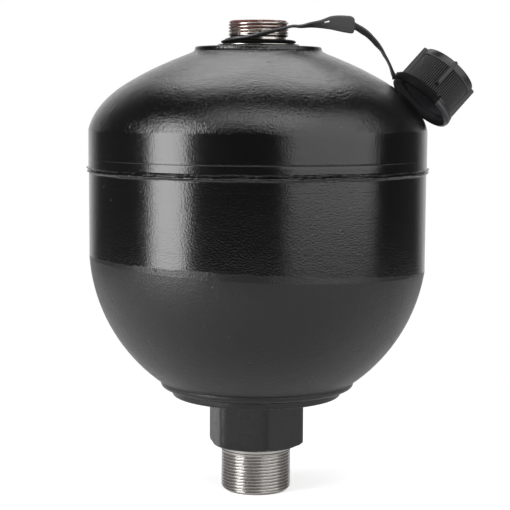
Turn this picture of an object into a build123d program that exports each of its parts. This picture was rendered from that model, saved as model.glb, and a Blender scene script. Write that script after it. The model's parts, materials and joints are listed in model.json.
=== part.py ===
from build123d import *
import math
import os

# Welded diaphragm accumulator of the 2 litre class.
#
# Two forged shells are turned on their bands and welded at the girth. A turned fluid port
# is welded to the lower dome and a gas stub to the upper one. Inside, a rubber diaphragm
# hangs from a retaining ring and carries the button that closes the fluid port. A screw
# cap on a moulded tether belongs on the gas stub; here it hangs beside the shoulder.
#
# Millimetres, +Z up, origin at the centre of the fluid port's end face.

# --- Fluid port ---------------------------------------------------------------------
port_thread_d = 33.0        # M33 x 1.5
port_thread_len = 19.5
port_chamfer = 1.6
relief_d = 30.6
relief_len = 2.5
hex_af = 41.0
hex_len = 24.0
hex_turn = -15.1            # one corner of the hexagon, degrees from +X
hex_chamfer = 1.2
hex_face_inset = 0.2        # the chamfer's circle lies this far inside the flats
port_flange_d = 80.0
port_flange_t = 4.0
port_fillet = 1.2
spigot_d = 48.0             # stands in the lower shell's floor
port_bore_d = 18.6          # tapping size of the G1/2 thread inside the port
port_bore_len = 16.0
passage_d = 12.0

# --- Shells -------------------------------------------------------------------------
upper_band_d = 158.0        # turned band above the girth weld
band_step = 0.2             # the band below it is turned this much smaller, per side
wall = 6.2                  # least wall under the turned bands
forging_allowance = 0.5     # rough forging, per side, over the turned band
forging_shift = 0.33        # lower forging sits this far off the turning axis
lip_step = 5.8              # rounded lip of the lower forging, outside the port's flange
lip_h = 2.76
lip_fillet = 2.0
floor_t = 10.0              # flat floor of the lower forging
lower_band_h = 35.5         # from the centre of the lower dome to the girth weld
upper_band_h = 13.3         # from the girth weld to the foot of the upper dome
weld_w = 2.4
weld_crown = 1.3
scribe_rise = 4.5           # fine turned line above the weld
scribe_w = 0.6
scribe_depth = 0.15
dome_flatness = 0.2595      # height of the upper dome over the band's diameter
boss_d = 59.0
boss_h = 2.3                # above the crown of the upper dome
boss_fillet = 3.0
edge_break = 0.6            # small chamfers on turned edges

# --- Gas stub -----------------------------------------------------------------------
stub_thread_d = 28.0        # M28 x 1.5
stub_thread_len = 8.0
stub_chamfer = 1.0
stub_neck_d = 25.6
stub_neck_len = 3.4
stub_flange_d = 38.0
stub_flange_t = 1.2
stub_spigot_d = 30.0
stub_spigot_len = 11.0

# --- Charging screw -----------------------------------------------------------------
screw_head_d = 17.0
screw_head_h = 6.0
screw_socket_af = 8.0
screw_socket_depth = 5.2
screw_shank_d = 12.0
screw_shank_len = 9.0
screw_recess = 0.8          # head lies this far below the stub's end
screw_end_gap = 0.6         # between the shank's end and the bottom of its hole
gas_passage_d = 4.0
seal_t = 1.5
screw_gap = 0.25            # round the screw's head

# --- Diaphragm, retaining ring and closing button --------------------------------------
ring_below = 10.0           # retaining ring, below the girth weld
ring_above = 9.0            # and above it
ring_t = 5.0                # radial thickness of the retaining ring
ring_seat = 1.6             # the ring stands this far into each shell's wall
ring_chamfer = 1.5
bead_h = 5.6
bead_w = 2.8
bead_gap = 0.15
diaphragm_t = 2.2
lining_gap = 0.3            # between the rubber and the steel behind it
button_d = 34.0
button_t = 4.0
button_chamfer = 0.8
button_boss_d = 10.0
button_boss_h = 1.0

# --- Protective cap ------------------------------------------------------------------
cap_barrel_d = 27.2
cap_barrel_len = 17.6
cap_band_h = 2.4            # smooth band at the closed end
cap_band_d = 28.2
cap_skirt_d = 32.4
cap_skirt_len = 4.6
cap_lip_fillet = 0.72
cap_edge = 0.8              # rounded and chamfered outer edges
cap_thread_bore_d = 28.4
cap_bore_d = 24.0
cap_top_t = 2.2
skirt_web = 0.4             # left between the thread's bore and the skirt's top
rib_count = 80              # fine grip ribs round the barrel
rib_depth = 0.35
fin_reach = 15.7            # from the cap's axis
fin_t = 1.3
fin_root = 1.0              # each fin starts this deep in the barrel
short_fin_start = 5.1       # above the skirt
groove_low = 0.9            # tether groove, above the cap's mouth
groove_w = 2.2
groove_depth = 1.0
cap_pitch = 47.65           # the cap's axis above the horizontal, degrees
cap_yaw = 13.0              # and away from the front, degrees
cap_place = 23.31           # the cap hangs off this angle of the upper dome's half ellipse
cap_stand = 7.29            # from the dome there to the centre of the barrel's lower end
cap_aside = 4.0             # and this far towards the back

# --- Tether ----------------------------------------------------------------------------
tether_ring_d = 35.0
tether_ring_t = 2.0
neck_gap = 0.6              # between the tether's ring and the stub's neck
strap_t = 1.3
strap_w = 4.2
strap_rise = 8.6            # from the ring to the middle of the strap's wide tab
tab_slot_len = 2.2          # slot through the wide tab
tab_slot_w = 0.9
tab_slot_rise = 0.9         # above the tab's middle
tab_slot_back = 6.0         # from the widest station of the strap, towards the ring
cap_ring_w = 1.2            # radial width of the ring round the cap
cap_ring_gap = 0.3
lug_reach = 2.6             # lug on the cap's ring, where the strap ends
lug_root = 0.3              # sunk into the ring
lug_w = 4.6

# --- Worked out -------------------------------------------------------------------------
relief_z = port_thread_len
hex_z = relief_z + relief_len
port_flange_z = hex_z + hex_len
lip_z = port_flange_z + port_flange_t
lip_top_z = lip_z + lip_h
lip_d = port_flange_d + 2 * lip_step
floor_z = lip_z + floor_t
lower_band_d = upper_band_d - 2 * band_step
lower_forged_r = lower_band_d / 2 + forging_allowance
upper_forged_r = upper_band_d / 2 + forging_allowance
lower_centre_z = lip_top_z + math.sqrt(lower_forged_r**2 - (lip_d / 2) ** 2)
inner_r = lower_band_d / 2 - wall
seat_r = inner_r + ring_seat
weld_z = lower_centre_z + lower_band_h
weld_low_z = weld_z - weld_w / 2
weld_high_z = weld_z + weld_w / 2
ring_low_z = weld_z - ring_below
ring_high_z = weld_z + ring_above
upper_dome_base_z = weld_z + upper_band_h
upper_dome_h = upper_band_d * dome_flatness
upper_inner_h = upper_dome_h - wall
boss_top_z = upper_dome_base_z + upper_dome_h + boss_h
neck_z = boss_top_z + stub_flange_t
stub_thread_z = neck_z + stub_neck_len
stub_end_z = stub_thread_z + stub_thread_len
screw_head_z = stub_end_z - screw_recess - screw_head_h
screw_end_z = screw_head_z - seal_t - screw_shank_len
stub_foot_z = boss_top_z - stub_spigot_len
cap_len = cap_skirt_len + cap_barrel_len
groove_r = cap_skirt_d / 2 - groove_depth
cap_ring_low = groove_low + cap_ring_gap
cap_ring_high = groove_low + groove_w - cap_ring_gap
cap_ring_r = groove_r + cap_ring_gap + cap_ring_w


def outline(*pieces):
    """Flat face in the XZ plane from lines and arcs drawn as (radius, height)."""
    return Plane.XZ * make_face([edge for piece in pieces for edge in piece.edges()])


def turned(*points):
    """Solid turned about Z from a closed outline of (radius, height) corners."""
    return revolve(outline(Polyline(*points, close=True)), Axis.Z)


def tube(r_in, r_out, low, high):
    """Plain ring about Z."""
    return turned((r_in, low), (r_out, low), (r_out, high), (r_in, high))


def rod(r, low, high):
    """Plain round bar about Z."""
    return Pos(0, 0, low) * Cylinder(r, high - low, align=(Align.CENTER, Align.CENTER, Align.MIN))


def circle_edges(solid, r, z):
    """Circular edges of one radius and height, for fillets and chamfers."""
    found = solid.edges().filter_by(GeomType.CIRCLE)
    return found.filter_by(lambda e: abs(e.radius - r) < 0.01 and abs(e.arc_center.Z - z) < 0.01)


def round_cup(r, low, high):
    """Solid cup shape: the lower dome's sphere below, a cylinder above, cut flat at low."""
    foot_r = math.sqrt(r**2 - (lower_centre_z - low) ** 2)
    foot_angle = math.degrees(math.atan2(low - lower_centre_z, foot_r))
    side = outline(
        Line((0, low), (foot_r, low)),
        CenterArc((0, lower_centre_z), r, foot_angle, -foot_angle),
        Line((r, lower_centre_z), (r, high)),
        Line((r, high), (0, high)),
        Line((0, high), (0, low)),
    )
    return revolve(side, Axis.Z)


def dome(r, h, low):
    """Solid under the upper dome's half ellipse, with a cylinder down to low."""
    side = outline(
        Line((0, low), (r, low)),
        Line((r, low), (r, upper_dome_base_z)),
        EllipticalCenterArc((0, upper_dome_base_z), r, h, start_angle=0, arc_size=90),
        Line((0, upper_dome_base_z + h), (0, low)),
    )
    return revolve(side, Axis.Z)


def make_fluid_port():
    """Turned port: male thread, relief, hexagon, round flange and spigot, bored through."""
    port = rod(port_thread_d / 2, 0, port_thread_len)
    port = chamfer(circle_edges(port, port_thread_d / 2, 0), port_chamfer)
    port += rod(relief_d / 2, relief_z, hex_z)
    hexagon = RegularPolygon(hex_af / 2, 6, major_radius=False, rotation=hex_turn)
    hexagon = Pos(0, 0, hex_z) * extrude(hexagon, hex_len)
    corner_r = hex_af / 2 / math.cos(math.radians(30))
    cone = turned(
        (0, hex_z), (hex_af / 2 - hex_face_inset, hex_z), (corner_r, hex_z + hex_chamfer),
        (corner_r, port_flange_z), (0, port_flange_z))
    port += hexagon & cone
    flange = rod(port_flange_d / 2, port_flange_z, lip_z)
    port += chamfer(circle_edges(flange, port_flange_d / 2, port_flange_z), edge_break)
    port += rod(spigot_d / 2, lip_z, floor_z)
    port -= rod(port_bore_d / 2, 0, port_bore_len)
    port -= rod(passage_d / 2, 0, floor_z)
    return port


def make_port_weld():
    """Fillet weld in the corner between the port's flange and the lower shell's lip."""
    r = port_flange_d / 2
    return turned((r, lip_z - port_fillet), (r + port_fillet, lip_z), (r, lip_z))


def make_lower_shell():
    """Fluid-side forging: dome, lip and flat floor, with the band turned at the top."""
    forged = round_cup(lower_forged_r, lip_top_z, weld_low_z)
    lip = rod(lip_d / 2, lip_z, lip_top_z)
    forged += fillet(circle_edges(lip, lip_d / 2, lip_z), lip_fillet)
    shell = Pos(forging_shift, 0, 0) * forged
    shell &= rod(lower_band_d / 2, lip_z, weld_low_z)
    shell -= round_cup(inner_r, floor_z, weld_low_z)
    shell -= rod(seat_r, ring_low_z, weld_low_z)
    shell -= rod(spigot_d / 2, lip_z, floor_z)
    return shell


def make_upper_shell():
    """Gas-side forging: flattened dome with a round boss, and the turned band below."""
    forged = dome(upper_forged_r, upper_dome_h, weld_high_z)
    forged += rod(boss_d / 2, upper_dome_base_z, boss_top_z)
    root = forged.edges().filter_by(
        lambda e: abs(e.bounding_box().size.X - boss_d) < 0.1
        and upper_dome_base_z + 0.1 < e.bounding_box().center().Z < boss_top_z - 0.1)
    forged = fillet(root, boss_fillet)
    forged = chamfer(circle_edges(forged, boss_d / 2, boss_top_z), edge_break)
    band_r = upper_band_d / 2
    shell = forged & rod(band_r, weld_high_z, boss_top_z)
    scribe_z = weld_z + scribe_rise
    shell -= tube(band_r - scribe_depth, band_r + 1, scribe_z - scribe_w / 2, scribe_z + scribe_w / 2)
    shell -= dome(inner_r, upper_inner_h, weld_high_z)
    shell -= rod(seat_r, weld_high_z, ring_high_z)
    shell -= rod(stub_spigot_d / 2, upper_dome_base_z, boss_top_z)
    return shell


def make_girth_weld():
    """Weld round the girth: full through the wall, with a low round crown outside."""
    low, high = (lower_band_d / 2, weld_low_z), (upper_band_d / 2, weld_high_z)
    side = outline(
        ThreePointArc(low, (lower_band_d / 2 + weld_crown, weld_z), high),
        Polyline(high, (seat_r, weld_high_z), (seat_r, weld_low_z), low),
    )
    return revolve(side, Axis.Z)


def make_gas_stub():
    """Turned stub: spigot in the boss, thin flange, neck and male thread, bored for the screw."""
    stub = rod(stub_spigot_d / 2, stub_foot_z, boss_top_z)
    stub += rod(stub_flange_d / 2, boss_top_z, neck_z)
    stub += rod(stub_neck_d / 2, neck_z, stub_thread_z)
    thread = rod(stub_thread_d / 2, stub_thread_z, stub_end_z)
    thread = chamfer(circle_edges(thread, stub_thread_d / 2, stub_end_z), stub_chamfer)
    stub += thread
    stub -= rod(screw_head_d / 2 + screw_gap, screw_head_z - seal_t, stub_end_z)
    stub -= rod(screw_shank_d / 2, screw_end_z - screw_end_gap, stub_end_z)
    stub -= rod(gas_passage_d / 2, stub_foot_z, stub_end_z)
    return stub


def make_stub_weld():
    """Fillet weld between the boss and the thin flange of the gas stub."""
    r = stub_flange_d / 2
    leg = stub_flange_t * 0.75
    return turned((r, boss_top_z), (r + leg, boss_top_z), (r, boss_top_z + leg))


def make_charging_screw():
    """Socket-head screw that shuts the gas passage."""
    screw = rod(screw_head_d / 2, screw_head_z, screw_head_z + screw_head_h)
    screw = chamfer(circle_edges(screw, screw_head_d / 2, screw_head_z + screw_head_h), edge_break)
    screw += rod(screw_shank_d / 2, screw_end_z, screw_head_z)
    socket = extrude(RegularPolygon(screw_socket_af / 2, 6, major_radius=False), screw_socket_depth)
    return screw - Pos(0, 0, screw_head_z + screw_head_h - screw_socket_depth) * socket


def make_screw_seal():
    """Flat sealing ring under the screw's head."""
    return tube(screw_shank_d / 2, screw_head_d / 2, screw_head_z - seal_t, screw_head_z)


def make_retaining_ring():
    """Ring held between the shells, with a pocket for the diaphragm's bead."""
    inner = seat_r - ring_t
    ring = tube(inner, seat_r, ring_low_z, ring_high_z)
    ring = chamfer(circle_edges(ring, inner, ring_high_z), ring_chamfer)
    return ring - tube(inner - 1, inner_r, ring_low_z - 1, ring_low_z + bead_h + bead_gap)


def make_diaphragm():
    """Moulded rubber cup: thick bead at the rim, a flat patch round the button below."""
    outer_r = inner_r - lining_gap
    low = floor_z + lining_gap
    cup = round_cup(outer_r, low, ring_low_z + bead_h)
    cup += rod(button_d / 2 + diaphragm_t, low, floor_z + button_t + diaphragm_t)
    hollow = round_cup(outer_r - diaphragm_t, low + diaphragm_t, ring_low_z + bead_h + 1)
    hollow -= rod(button_d / 2 + diaphragm_t, low, floor_z + button_t + diaphragm_t)
    cup -= hollow
    cup += tube(outer_r - bead_w, outer_r, ring_low_z + bead_gap, ring_low_z + bead_h)
    cup -= rod(button_d / 2 + lining_gap, low, floor_z + button_t)
    boss_h = button_boss_h + lining_gap
    return cup - rod(button_boss_d / 2 + lining_gap, low, floor_z + button_t + boss_h)


def make_closing_button():
    """Steel plate with a low boss, moulded into the diaphragm; it lands on the port's top."""
    button = rod(button_d / 2, floor_z, floor_z + button_t)
    button = chamfer(circle_edges(button, button_d / 2, floor_z), button_chamfer)
    return button + rod(button_boss_d / 2, floor_z + button_t, floor_z + button_t + button_boss_h)


def cap_frame():
    """Plane at the cap's mouth: z along its axis towards the closed end, x down to the right."""
    place, pitch, yaw = (math.radians(a) for a in (cap_place, cap_pitch, cap_yaw))
    foot = Vector(upper_forged_r * math.cos(place), cap_aside,
                  upper_dome_base_z + upper_dome_h * math.sin(place))
    off_dome = Vector(math.cos(place) / upper_forged_r, 0, math.sin(place) / upper_dome_h)
    shoulder = foot + off_dome.normalized() * cap_stand
    axis = Vector(math.cos(yaw) * math.cos(pitch), math.sin(yaw), math.cos(yaw) * math.sin(pitch))
    across = Vector(math.sin(pitch), 0, -math.cos(pitch))
    return Plane(origin=shoulder - axis * cap_skirt_len, x_dir=across, z_dir=axis)


def make_ribbed_barrel():
    """Barrel of the cap with its fine grip ribs, one point on each crest and in each valley."""
    r = cap_barrel_d / 2
    points = []
    for i in range(2 * rib_count):
        angle = math.pi * i / rib_count
        reach = r - rib_depth * (i % 2)
        points.append((reach * math.cos(angle), reach * math.sin(angle)))
    section = make_face(Polyline(*points, close=True))
    return extrude(section, cap_len - cap_edge)


def make_cap_fin(angle, start):
    """One grip fin along the barrel, with a slanted lower end."""
    low = cap_skirt_len + start
    root = cap_barrel_d / 2 - fin_root
    toe = low + fin_reach - root if start else low
    side = Plane.XZ * make_face(Polyline(
        (root, low), (fin_reach, toe), (fin_reach, cap_len), (root, cap_len), close=True))
    return Rot(0, 0, angle) * extrude(side, fin_t / 2, both=True)


def make_protective_cap():
    """Moulded screw cap: smooth skirt with the tether's groove, ribbed barrel, four fins."""
    skirt = rod(cap_skirt_d / 2, 0, cap_skirt_len)
    skirt = fillet(circle_edges(skirt, cap_skirt_d / 2, 0), cap_lip_fillet)
    skirt = fillet(circle_edges(skirt, cap_skirt_d / 2, cap_skirt_len), cap_edge)
    skirt -= tube(groove_r, cap_skirt_d / 2 + 1, groove_low, groove_low + groove_w)
    cap = skirt + make_ribbed_barrel()
    band = rod(cap_band_d / 2, cap_len - cap_band_h, cap_len)
    cap += chamfer(circle_edges(band, cap_band_d / 2, cap_len), cap_edge)
    for angle, start in ((0, 0), (180, 0), (90, short_fin_start), (-90, short_fin_start)):
        cap += make_cap_fin(angle, start)
    cap -= rod(cap_thread_bore_d / 2, 0, cap_skirt_len - skirt_web)
    cap -= rod(cap_bore_d / 2, 0, cap_len - cap_top_t)
    return cap_frame() * cap


# Stations of the strap: along it as a share of the way to the cap, towards the front as a
# share of the ring's radius, up as a share of its rise, width over strap_w, and roll in
# degrees, where 0 is flat and 90 stands up. The strap then ends at the lug on the cap's ring.
strap_stations = [
    (-0.189, 0.686, 0.00, 1.19, 0),
    (-0.110, 0.937, 0.07, 1.24, 6),
    (0.000, 1.040, 0.30, 1.19, 16),
    (0.110, 1.063, 0.51, 1.14, 28),
    (0.220, 0.994, 0.67, 1.14, 42),
    (0.315, 0.880, 0.81, 1.29, 56),
    (0.401, 0.754, 0.92, 1.67, 68),
    (0.488, 0.629, 0.98, 1.95, 76),
    (0.582, 0.503, 1.00, 2.14, 80),
    (0.658, 0.411, 0.99, 2.00, 76),
    (0.702, 0.366, 0.97, 1.14, 62),
    (0.752, 0.320, 0.88, 1.00, 42),
    (0.806, 0.274, 0.63, 1.00, 22),
    (0.859, 0.229, 0.12, 1.00, 8),
    (0.913, 0.183, -0.60, 1.00, 2),
    (0.960, 0.137, -1.33, 1.00, 0),
]


def strap_frames():
    """Plane at each station, x across the strap and z through it, with the strap's width."""
    lug_end = cap_ring_r + lug_reach - strap_t / 2
    end = (cap_frame() * Pos(-lug_end, 0, groove_low + groove_w / 2)).position
    ring_mid = neck_z + tether_ring_t / 2
    centres = [Vector(along * end.X, -front * tether_ring_d / 2, ring_mid + up * strap_rise)
               for along, front, up, _, _ in strap_stations] + [end]
    widths = [width for _, _, _, width, _ in strap_stations] + [1.0]
    rolls = [roll for _, _, _, _, roll in strap_stations] + [0]
    frames = []
    for i, centre in enumerate(centres):
        run = (centres[min(i + 1, len(centres) - 1)] - centres[max(i - 1, 0)]).normalized()
        flat = (Vector(0, 1, 0) - run * run.Y).normalized()
        angle = math.radians(rolls[i])
        across = flat * math.cos(angle) + run.cross(flat) * math.sin(angle)
        plane = Plane(origin=centre, x_dir=across, z_dir=run.cross(across))
        frames.append((plane, widths[i] * strap_w))
    return frames


def make_strap():
    """The strap alone, as a closed skin of flat facets from station to station."""
    sections = []
    for plane, width in strap_frames():
        corners = ((-1, -1), (1, -1), (1, 1), (-1, 1))
        sections.append([plane.from_local_coords((a * width / 2, 0, b * strap_t / 2))
                         for a, b in corners])
    faces = [Face(Wire.make_polygon(sections[0])), Face(Wire.make_polygon(sections[-1]))]
    for here, there in zip(sections, sections[1:]):
        for k in range(4):
            n = (k + 1) % 4
            faces.append(Face(Wire.make_polygon([here[k], here[n], there[n]])))
            faces.append(Face(Wire.make_polygon([here[k], there[n], there[k]])))
    strap = Solid(Shell(faces))
    tab = max(strap_frames(), key=lambda frame: frame[1])[0]
    slot = Pos(tab_slot_rise, tab_slot_back, 0) * Box(tab_slot_w, tab_slot_len, 2 * strap_t)
    return strap - tab * slot


def make_tether():
    """One moulding: ring on the gas stub's neck, strap with its tab, ring in the cap's groove."""
    neck_ring = tube(stub_neck_d / 2 + neck_gap, tether_ring_d / 2, neck_z, neck_z + tether_ring_t)
    cap_ring = tube(cap_ring_r - cap_ring_w, cap_ring_r, cap_ring_low, cap_ring_high)
    lug_mid = cap_ring_r + (lug_reach - lug_root) / 2
    lug_h = cap_ring_high - cap_ring_low
    lug = Box(lug_reach + lug_root, lug_w, lug_h)
    cap_ring += Pos(-lug_mid, 0, cap_ring_low + lug_h / 2) * lug
    return neck_ring + make_strap() + cap_frame() * cap_ring


nodes = {
    "fluid_port": make_fluid_port(),
    "port_weld": make_port_weld(),
    "lower_shell": make_lower_shell(),
    "upper_shell": make_upper_shell(),
    "girth_weld": make_girth_weld(),
    "gas_stub": make_gas_stub(),
    "gas_stub_weld": make_stub_weld(),
    "charging_screw": make_charging_screw(),
    "charging_screw_seal": make_screw_seal(),
    "retaining_ring": make_retaining_ring(),
    "diaphragm": make_diaphragm(),
    "closing_button": make_closing_button(),
    "tether": make_tether(),
    "protective_cap": make_protective_cap(),
}

os.makedirs("parts", exist_ok=True)
for name, solid in nodes.items():
    export_step(solid, f"parts/{name}.step")
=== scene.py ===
import json
import math

import bmesh
import bpy
import numpy as np
from mathutils import Euler, Matrix, Vector, noise


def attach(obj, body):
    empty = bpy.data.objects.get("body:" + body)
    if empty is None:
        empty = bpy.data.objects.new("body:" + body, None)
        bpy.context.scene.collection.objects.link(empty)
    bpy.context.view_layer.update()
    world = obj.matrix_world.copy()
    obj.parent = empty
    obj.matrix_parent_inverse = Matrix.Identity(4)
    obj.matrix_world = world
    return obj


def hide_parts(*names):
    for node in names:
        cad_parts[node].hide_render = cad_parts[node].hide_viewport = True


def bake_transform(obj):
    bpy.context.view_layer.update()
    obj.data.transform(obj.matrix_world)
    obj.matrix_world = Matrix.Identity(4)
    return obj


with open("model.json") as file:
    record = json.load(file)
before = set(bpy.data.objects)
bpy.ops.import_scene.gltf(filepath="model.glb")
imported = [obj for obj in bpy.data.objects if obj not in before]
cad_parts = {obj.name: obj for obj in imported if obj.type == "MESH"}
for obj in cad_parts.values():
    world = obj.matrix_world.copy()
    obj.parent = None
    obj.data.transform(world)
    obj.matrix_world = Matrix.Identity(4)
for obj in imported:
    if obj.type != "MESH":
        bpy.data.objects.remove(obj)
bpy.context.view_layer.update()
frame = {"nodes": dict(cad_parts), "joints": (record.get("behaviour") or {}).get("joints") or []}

# Looks of a welded diaphragm accumulator: black enamel over turned and forged steel, bare
# threads, and a moulded cap on its tether. Lengths are in millimetres unless a comment says
# metres; meshes are made in metres. The origin is the centre of the fluid port's end face, with
# +Z up and -Y the front.

MM = 0.001

# --- Sizes shared with the solids ---------------------------------------------------------
port_thread_r, port_thread_h, port_chamfer = 16.5, 19.5, 1.6
thread_pitch, thread_depth = 1.5, 0.92
relief_r, collar_r, hex_z, hex_af, hex_turn = 15.3, 16.4, 22.0, 41.0, -15.1
flange_r, flange_z, lip_z, spigot_r, spigot_top_z = 40.0, 46.0, 50.0, 24.0, 60.0
bore_r, bore_h, passage_r = 9.3, 16.0, 6.0
bore_pitch, bore_depth = 1.814, 1.16
band_r, lower_band_r, inner_r = 79.0, 78.8, 72.6
weld_z, weld_top_z, dome_centre_z = 152.997, 154.197, 117.497
seat_r, ring_top_z, dome_base_z = 74.2, 161.997, 166.297
dome_r, dome_h, inner_dome_h, scribe_z, boss_r = 79.5, 41.0, 34.8, 157.497, 29.5
boss_z, neck_z, stub_thread_z, stub_end_z = 209.598, 210.798, 214.198, 222.198
stub_r, stub_flange_r, stub_neck_r, stub_spigot_r = 14.0, 19.0, 12.8, 15.0
head_r, seat_z, shank_r, shank_z, gas_r = 8.75, 213.9, 6.0, 204.3, 2.0
cap_skirt_r, cap_skirt_h, cap_barrel_r, cap_h = 16.2, 4.6, 13.6, 22.2
cap_band_r, cap_band_h, fin_r, fin_t, fin_root, short_fin_z = 14.1, 3.4, 15.7, 1.6, 12.6, 7.3
cap_thread_r, cap_bore_r, cap_top_t = 14.2, 12.0, 2.2
groove_low, groove_high, groove_r = 0.9, 3.1, 15.2
ring_r, ring_hole_r = 17.5, 13.4
cap_ring_in, cap_ring_out = 15.5, 16.7
rubber_t, rubber_low, ring_low_z = 2.2, 60.3, weld_z - 10
bead_h, bead_w, bead_gap = 5.6, 2.8, 0.15
button_r, pocket_r, pocket_top_z, boss_pocket_r = 17.0, 17.3, 64.0, 5.3

# --- Sizes of the looks -------------------------------------------------------------------
lift_r, lift_h, lift_power = 60, 3.0, 1.6       # swell of the upper forging inside this radius
scribe_depth = 0.07                             # fine turned line above the weld
weld_low, weld_high, weld_step = -2.6, 1.9, 0.16    # heights of the flash from the weld's middle
weld_back_r = inner_r + 1.6
rib_count, rib_r = 80, 0.34
crest_end, root_start = 0.15, 0.43              # of a thread, in turns from the crest's middle

# --- Stage --------------------------------------------------------------------------------
camera_distance, camera_height, camera_offset = 705, 187.5, -1.0
camera_tilt = 6.1               # degrees below the horizontal
camera_roll = 0.35
camera_lens = 105.9
room_level = 0.03               # brightness of the dark room in front
side_level = 0.075              # of its side walls
sweep_level = 0.95              # and of the white sweep behind
floor_r = 6.0                   # metres
lamp_aim = Vector((0, 0, 0.13))     # metres
paper_colour, paper_glow = (0.7, 0.7, 0.7, 1), 0.55
burn_from, burn_to = 0.10, 0.30     # metres: the paper burns out to white between these
end_from, end_to = 0.55, 0.95       # metres: and ends between these, mirrored in the paint

# --- Nodes --------------------------------------------------------------------------------
MATHS, VECTOR, RANGE = "ShaderNodeMath", "ShaderNodeVectorMath", "ShaderNodeMapRange"
MIX, NOISE, BUMP = "ShaderNodeMix", "ShaderNodeTexNoise", "ShaderNodeBump"
SPLIT, UNITE, PLACE = "ShaderNodeSeparateXYZ", "ShaderNodeCombineXYZ", "ShaderNodeTexCoord"
GLOW, BLEND = "ShaderNodeEmission", "ShaderNodeMixShader"
PLUS, MINUS, TIMES = {"operation": "ADD"}, {"operation": "SUBTRACT"}, {"operation": "MULTIPLY"}
OVER, TIMES_PLUS = {"operation": "DIVIDE"}, {"operation": "MULTIPLY_ADD"}
LENGTH, UNIT = {"operation": "LENGTH"}, {"operation": "NORMALIZE"}
COLOURS, SMOOTH = {"data_type": "RGBA"}, {"interpolation_type": "SMOOTHSTEP"}


def linear(hex_colour):
    """Linear colour with alpha from an sRGB hex value."""
    values = [int(hex_colour[i:i + 2], 16) / 255 for i in (1, 3, 5)]
    return [v / 12.92 if v <= 0.04045 else ((v + 0.055) / 1.055) ** 2.4 for v in values] + [1.0]


def add(tree, kind, settings=None, inputs=None):
    """Adds a node. An input, by name or number, is a value, a node or a socket to link from."""
    node = tree.nodes.new(kind)
    for key, value in (settings or {}).items():
        setattr(node, key, value)
    for key, value in (inputs or {}).items():
        socket = node.inputs[key]
        if isinstance(value, bpy.types.Node):
            value = next(s for s in value.outputs if s.enabled)
        if isinstance(value, bpy.types.NodeSocket):
            tree.links.new(value, socket)
        else:
            socket.default_value = value
    return node


# --- Camera, lamps, room and floor --------------------------------------------------------
def make_camera():
    data = bpy.data.cameras.new("camera")
    data.lens, data.sensor_width, data.clip_start = camera_lens, 36, 0.01
    camera = new_object("camera", data)
    camera.location = Vector((camera_offset, -camera_distance, camera_height)) * MM
    tilt = Euler((math.radians(90 - camera_tilt), 0, 0)).to_matrix()
    roll = Euler((0, 0, math.radians(camera_roll))).to_matrix()
    camera.rotation_euler = (tilt @ roll).to_euler()
    bpy.context.scene.camera = camera


def make_softbox(name, azimuth, elevation, reach, width, height, radiance):
    """Area lamp facing the vessel, its reach and sizes in metres. Azimuth counts from the
    camera's side."""
    data = bpy.data.lights.new(name, "AREA")
    data.shape, data.size, data.size_y = "RECTANGLE", width, height
    data.energy = radiance * math.pi * width * height
    lamp = new_object(name, data)
    a, e = math.radians(azimuth), math.radians(elevation)
    direction = Vector((math.sin(a) * math.cos(e), -math.cos(a) * math.cos(e), math.sin(e)))
    lamp.location = lamp_aim + direction * reach
    lamp.rotation_euler = (-direction).to_track_quat("-Z", "Y").to_euler()


def white_behind(tree, y):
    """Room brightness for a direction: white where the sweep stands behind, dark elsewhere."""
    side = add(tree, RANGE, SMOOTH, {"Value": y, "From Min": -0.3, "From Max": 0.6,
                                     "To Min": room_level, "To Max": side_level})
    return add(tree, RANGE, SMOOTH, {"Value": y, "From Min": 0.67, "From Max": 0.96,
                                     "To Min": side, "To Max": sweep_level})


def make_world():
    """White to the camera; to the paint, a dark room with a white sweep behind the vessel."""
    world = bpy.data.worlds.new("studio_room")
    bpy.context.scene.world = world
    world.use_nodes = True
    tree = world.node_tree
    tree.nodes.clear()
    split = add(tree, SPLIT, inputs={0: add(tree, PLACE).outputs["Generated"]})
    room = white_behind(tree, split.outputs["Y"])
    path = add(tree, "ShaderNodeLightPath")
    level = add(tree, MATHS, {"operation": "MAXIMUM"}, {0: room, 1: path.outputs["Is Camera Ray"]})
    background = add(tree, "ShaderNodeBackground",
                     inputs={"Color": (1, 1, 1, 1), "Strength": level})
    add(tree, "ShaderNodeOutputWorld", inputs={"Surface": background})


def white_paper():
    """Paper sweep under the vessel, seen by the camera and mirrored in the paint."""
    material = bpy.data.materials.new("white_paper_sweep")
    material.use_nodes = True
    tree = material.node_tree
    tree.nodes.clear()
    where = add(tree, PLACE).outputs["Object"]
    reach = add(tree, VECTOR, LENGTH, {0: where}).outputs["Value"]
    split = add(tree, SPLIT, inputs={0: add(tree, VECTOR, UNIT, {0: where})})
    paper = add(tree, "ShaderNodeBsdfDiffuse", inputs={"Color": paper_colour})
    # Seen by the camera: paper that burns out to white, apart from the contact shadow.
    glow = add(tree, GLOW, inputs={"Strength": paper_glow})
    lit = add(tree, "ShaderNodeAddShader", inputs={0: paper, 1: glow})
    white = add(tree, GLOW, inputs={"Strength": 1.0})
    far = add(tree, RANGE, SMOOTH, {"Value": reach, "From Min": burn_from, "From Max": burn_to})
    seen = add(tree, BLEND, inputs={0: far, 1: lit, 2: white})
    # Mirrored in the paint: the paper ends in the dark room, except behind the vessel.
    room = add(tree, GLOW, inputs={"Strength": white_behind(tree, split.outputs["Y"])})
    ends = add(tree, RANGE, SMOOTH, {"Value": reach, "From Min": end_from, "From Max": end_to})
    mirrored = add(tree, BLEND, inputs={0: ends, 1: paper, 2: room})
    path = add(tree, "ShaderNodeLightPath")
    both = add(tree, BLEND, inputs={0: path.outputs["Is Camera Ray"], 1: mirrored, 2: seen})
    add(tree, "ShaderNodeOutputMaterial", inputs={"Surface": both})
    return material


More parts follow.
